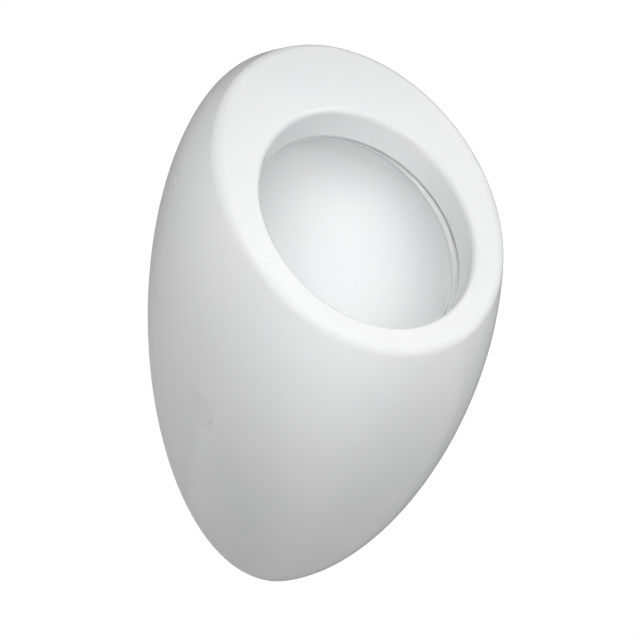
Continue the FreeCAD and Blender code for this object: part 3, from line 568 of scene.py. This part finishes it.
def inlet_thread(settings):
    """Thread ridge winding inside the mouth of the inlet nut."""
    mount = next(m for m in frame["record"]["mounts"] if m["name"] == "water_inlet")
    radius, run = mount["dims"]["r_mm"] * MM, mount["dims"]["length_mm"] * MM
    low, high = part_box("inlet_nut")
    middle_z = (low[2] + high[2]) / 2
    pitch = settings.inlet_pitch
    first = high[1] - pitch / 2
    steps = round((run - pitch) / pitch * THREAD_STEPS)
    sections = []
    for k in range(steps + 1):
        turn = math.tau * k / THREAD_STEPS
        y = first - pitch * k / THREAD_STEPS
        rise = SUNK / 2 + settings.inlet_ridge * min(1.0, k / THREAD_TAPER, (steps - k) / THREAD_TAPER)
        section = []
        for height, shift in ((-SUNK, -THREAD_FOOT), (rise, -THREAD_CREST),
                              (rise, THREAD_CREST), (-SUNK, THREAD_FOOT)):
            r = radius - height
            section.append((r * math.cos(turn), y + shift * pitch, middle_z + r * math.sin(turn)))
        sections.append(section)
    ridge("inlet_nut_thread", sections, "machined_brass")


def drain_y():
    """The y coordinate of the drain's axis."""
    low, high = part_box("strainer")
    return (low[1] + high[1]) / 2


def seam_line(name, node, side, low, high, settings):
    """Mould line up one side of a round moulding, laid on its surface."""
    mesh = frame["nodes"][node].data
    skin = BVHTree.FromPolygons([v.co for v in mesh.vertices], [p.vertices for p in mesh.polygons])
    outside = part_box(node)[1][0] * 2
    middle_y = drain_y()
    half = settings.seam_width / 2
    crest = half / 4
    sections = []
    for k in range(SEAM_STEPS + 1):
        z = low + (high - low) * k / SEAM_STEPS
        hit = skin.ray_cast(Vector((side * outside, middle_y, z)), Vector((-side, 0, 0)))[0]
        top = hit.x + side * (settings.seam_height if 0 < k < SEAM_STEPS else SUNK / 2)
        base = hit.x - side * SUNK
        sections.append([(base, middle_y - half, z), (top, middle_y - crest, z),
                         (top, middle_y + crest, z), (base, middle_y + half, z)])
    ridge(name, sections, "trap_moulding")


def moulding_gate(settings):
    """Round gate mark under the trap cup: a low disc with a cut sprue in its middle."""
    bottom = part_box("trap_cup")[0][2]
    middle_y = drain_y()
    turns = [math.tau * k / GATE_AROUND for k in range(GATE_AROUND)]
    sections = []
    for share_of_radius, z in GATE_PROFILE:
        r = settings.gate_radius * share_of_radius
        sections.append([(r * math.cos(t), middle_y + r * math.sin(t), bottom + z) for t in turns])
    ridge("cup_gate_mark", sections, "trap_moulding")


# ---- operators -------------------------------------------------------------------------------
class URINAL_OT_glaze_ceramic(bpy.types.Operator):
    """Glazes the ceramic body, down to the bare ground edge at the wall"""
    bl_idname = "urinal.glaze_ceramic"
    bl_label = "Glaze Ceramic"

    def execute(self, context):
        finish_node("ceramic_body", glaze_material(context.scene.urinal_glaze))
        return {"FINISHED"}


class URINAL_OT_finish_caps(bpy.types.Operator):
    """Finishes the two access caps in gloss white plastic"""
    bl_idname = "urinal.finish_caps"
    bl_label = "Finish Access Caps"

    def execute(self, context):
        finish_nodes(("access_cap_left", "access_cap_right"), "cap_plastic")
        return {"FINISHED"}


class URINAL_OT_finish_wall_arms(bpy.types.Operator):
    """Finishes the zinc plated wall arms, their nuts and the rubber pads"""
    bl_idname = "urinal.finish_wall_arms"
    bl_label = "Finish Wall Arms"

    def execute(self, context):
        arms = [f"wall_arm_{row}_{side}" for row in ("upper", "lower") for side, _ in SIDES]
        finish_nodes(arms + ["arm_nuts"], "zinc_plating")
        finish_nodes(("arm_pads",), "black_rubber")
        return {"FINISHED"}


class URINAL_OT_finish_side_screws(bpy.types.Operator):
    """Finishes the side screws, with bumps for their threads, and the washers under their heads"""
    bl_idname = "urinal.finish_side_screws"
    bl_label = "Finish Side Screws"

    def execute(self, context):
        metals = context.scene.urinal_metals
        thread_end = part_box("arm_nuts")[1][0]
        material = threaded_material(metals, "threaded_steel", thread_end)
        for node in ("side_screws_upper", "side_screws_lower"):
            finish_node(node, material)
        finish_nodes(("head_washers",), "washer_nylon")
        return {"FINISHED"}


class URINAL_OT_finish_waste(bpy.types.Operator):
    """Finishes the waste flange, the gaskets and the trap, with its mould lines and gate mark"""
    bl_idname = "urinal.finish_waste"
    bl_label = "Finish Waste And Trap"

    def execute(self, context):
        plastics = context.scene.urinal_plastics
        finish_nodes(("waste_flange",), "turned_stainless")
        finish_nodes(("trap_head", "trap_cup", "cup_ring", "outlet_nut", "outlet_pipe"), "trap_moulding")
        finish_nodes(("waste_gasket_upper", "waste_gasket_lower", "cup_seal", "outlet_seal"),
                     "black_rubber")
        ring_low, ring_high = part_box("cup_ring")
        head_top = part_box("trap_head")[1][2]
        cup_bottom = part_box("trap_cup")[0][2]
        for name, side in SIDES:
            seam_line(f"head_seam_{name}", "trap_head", side,
                      ring_high[2] + SEAM_MARGIN, head_top - SEAM_MARGIN, plastics)
            seam_line(f"cup_seam_{name}", "trap_cup", side,
                      cup_bottom + CUP_SEAM_START, ring_low[2] - SEAM_MARGIN, plastics)
        moulding_gate(plastics)
        return {"FINISHED"}


class URINAL_OT_finish_insert(bpy.types.Operator):
    """Finishes the lift-out insert: polished strainer, its screw, the dip tube and the O-ring"""
    bl_idname = "urinal.finish_insert"
    bl_label = "Finish Lift-out Insert"

    def execute(self, context):
        finish_nodes(("strainer",), "polished_steel")
        finish_nodes(("strainer_screw",), "turned_stainless")
        finish_nodes(("dip_tube",), "trap_moulding")
        finish_nodes(("dip_o_ring",), "black_rubber")
        return {"FINISHED"}


class URINAL_OT_finish_inlet(bpy.types.Operator):
    """Finishes the brass inlet fittings, the grommet and the washer, and adds the nut's thread"""
    bl_idname = "urinal.finish_inlet"
    bl_label = "Finish Inlet"

    def execute(self, context):
        finish_nodes(("inlet_nut", "inlet_tailpiece"), "machined_brass")
        finish_nodes(("inlet_grommet",), "black_rubber")
        finish_nodes(("inlet_washer",), "pressed_fibre")
        inlet_thread(context.scene.urinal_metals)
        return {"FINISHED"}


FLOOR_SIDES = 96
SKY_TILT = 0.3                  # weight of height against depth in the brightness that gloss mirrors
WHITE = (1, 1, 1, 1)


class URINAL_OT_set_stage(bpy.types.Operator):
    """Adds the floor, the white surround, the soft lights and the camera"""
    bl_idname = "urinal.set_stage"
    bl_label = "Set Stage"

    def execute(self, context):
        settings = context.scene.urinal_stage
        add_floor(settings)
        add_surround(settings)
        add_lights()
        add_camera(settings)
        return {"FINISHED"}


def add_floor(settings):
    mesh = bpy.data.meshes.new("floor")
    build = bmesh.new()
    bmesh.ops.create_circle(build, cap_ends=True, segments=FLOOR_SIDES, radius=settings.floor_radius,
                            matrix=Matrix.Translation((0, 0, -settings.floor_drop)))
    build.to_mesh(mesh)
    build.free()
    floor = bpy.data.objects.new("floor", mesh)
    bpy.context.scene.collection.objects.link(floor)
    material, tree = new_material("floor_paint")
    shader_of(tree).inputs["Base Color"].default_value = (*settings.floor_colour, 1)
    grit = noise(tree, object_place(tree), FLOOR_GRIT, detail=3.0)
    roughness = remap(tree, grit, NOISE_LOW, NOISE_HIGH, to_low=0.7, to_high=0.85)
    feed(tree, roughness, shader_of(tree).inputs["Roughness"])
    mesh.materials.append(material)


def add_surround(settings):
    """White to the camera, nearly dark as light, and in between in gloss, brightest towards the wall."""
    world = bpy.data.worlds.new("surround")
    bpy.context.scene.world = world
    world.use_nodes = True
    tree = world.node_tree
    path = tree.nodes.new("ShaderNodeLightPath")

    def glow(strength):
        node = tree.nodes.new("ShaderNodeBackground")
        feed(tree, strength, node.inputs["Strength"])
        node.inputs["Color"].default_value = WHITE
        return node.outputs["Background"]

    def choose(ray, otherwise, then):
        node = tree.nodes.new("ShaderNodeMixShader")
        tree.links.new(path.outputs[ray], node.inputs["Fac"])
        tree.links.new(otherwise, node.inputs[1])
        tree.links.new(then, node.inputs[2])
        return node.outputs["Shader"]

    sky = tree.nodes.new("ShaderNodeTexCoord").outputs["Generated"]
    above = calculate(tree, "MULTIPLY", axis_of(tree, sky, "Z"), SKY_TILT)
    behind = calculate(tree, "ADD", axis_of(tree, sky, "Y"), above)
    gloss = remap(tree, behind, -1.0, 1.0, settings.front_gloss, settings.back_gloss)
    light = choose("Is Glossy Ray", glow(settings.surround_light), glow(gloss))
    seen = choose("Is Camera Ray", light, glow(settings.backdrop_glow))
    tree.links.new(seen, tree.nodes["World Output"].inputs["Surface"])


BODY_MIDDLE = Vector((0, -0.17, -0.02))
MOUTH_MIDDLE = Vector((0, -0.2, 0.06))

# name, turn to the left side, rise, distance, width, power in watts, beam in degrees, aimed at
SOFT_LIGHTS = (
    ("key_light", 30, 25, 2.2, 1.1, 17.0, 180, BODY_MIDDLE),
    ("high_right_light", -60, 50, 2.2, 1.1, 18.2, 180, BODY_MIDDLE),
    ("right_light", -90, -5, 2.2, 1.1, 15.2, 180, BODY_MIDDLE),
    ("left_back_light", 135, 25, 2.2, 1.1, 22.0, 180, BODY_MIDDLE),
    ("left_light", 90, -5, 2.2, 1.1, 2.9, 180, BODY_MIDDLE),
    ("low_light", 40, -12, 2.2, 0.5, 1.0, 180, BODY_MIDDLE),
    ("bowl_light", 0, 8, 1.6, 0.35, 0.5, 45, MOUTH_MIDDLE),
    ("low_bowl_light", 30, -5, 1.6, 0.35, 0.11, 45, MOUTH_MIDDLE),
    ("bowl_spot", 22, 8, 1.3, 0.35, 0.105, 26, MOUTH_MIDDLE),
)


def towards(turn, rise):
    """Unit vector from the object, turned from the room side towards the left and raised."""
    turn, rise = math.radians(turn), math.radians(rise)
    return Vector((-math.sin(turn) * math.cos(rise), -math.cos(turn) * math.cos(rise), math.sin(rise)))


def aim(item, place, target):
    item.location = place
    item.rotation_mode = "QUATERNION"
    item.rotation_quaternion = (target - place).to_track_quat("-Z", "Y")


def add_lights():
    """Square soft boxes that light the object without showing in its gloss."""
    for name, turn, rise, distance, width, power, beam, target in SOFT_LIGHTS:
        data = bpy.data.lights.new(name, "AREA")
        data.shape = "SQUARE"
        data.size = width
        data.energy = power
        data.spread = math.radians(beam)
        light = bpy.data.objects.new(name, data)
        light.visible_glossy = False
        bpy.context.scene.collection.objects.link(light)
        aim(light, target + towards(turn, rise) * distance, target)


CAMERA_TARGET = Vector((0.043, -0.0167, -0.0258))
SENSOR_WIDTH = 36               # mm


def add_camera(settings):
    data = bpy.data.cameras.new("camera")
    data.sensor_width = SENSOR_WIDTH
    data.lens = settings.focal_length
    camera = bpy.data.objects.new("camera", data)
    bpy.context.scene.collection.objects.link(camera)
    turn, rise = math.degrees(settings.camera_turn), math.degrees(settings.camera_rise)
    aim(camera, CAMERA_TARGET + towards(turn, rise) * settings.camera_distance, CAMERA_TARGET)
    bpy.context.scene.camera = camera


class URINAL_PT_finisher(bpy.types.Panel):
    """Steps and settings of the finisher"""
    bl_idname = "URINAL_PT_finisher"
    bl_label = "Wall Hung Urinal"
    bl_space_type = "VIEW_3D"
    bl_region_type = "UI"
    bl_category = "Urinal"

    def draw(self, context):
        for step in STEPS:
            self.layout.operator(step.bl_idname)
        for owner in SETTINGS:
            box = self.layout.box()
            for name in SETTINGS[owner].__annotations__:
                box.prop(getattr(context.scene, owner), name)


SETTINGS = {"urinal_glaze": GlazeSettings, "urinal_metals": MetalSettings,
            "urinal_plastics": PlasticSettings, "urinal_stage": StageSettings}
STEPS = (URINAL_OT_glaze_ceramic, URINAL_OT_finish_caps, URINAL_OT_finish_wall_arms,
         URINAL_OT_finish_side_screws, URINAL_OT_finish_waste, URINAL_OT_finish_insert,
         URINAL_OT_finish_inlet, URINAL_OT_set_stage)
CLASSES = (*SETTINGS.values(), *STEPS, URINAL_PT_finisher)


def register():
    for item in CLASSES:
        bpy.utils.register_class(item)
    for name, group in SETTINGS.items():
        setattr(bpy.types.Scene, name, PointerProperty(type=group))


def unregister():
    for name in SETTINGS:
        delattr(bpy.types.Scene, name)
    for item in reversed(CLASSES):
        bpy.utils.unregister_class(item)


def main():
    register()
    bpy.context.scene.view_settings.view_transform = "Standard"
    for step in STEPS:
        group, name = step.bl_idname.split(".")
        getattr(getattr(bpy.ops, group), name)()


if __name__ == "__main__":
    main()
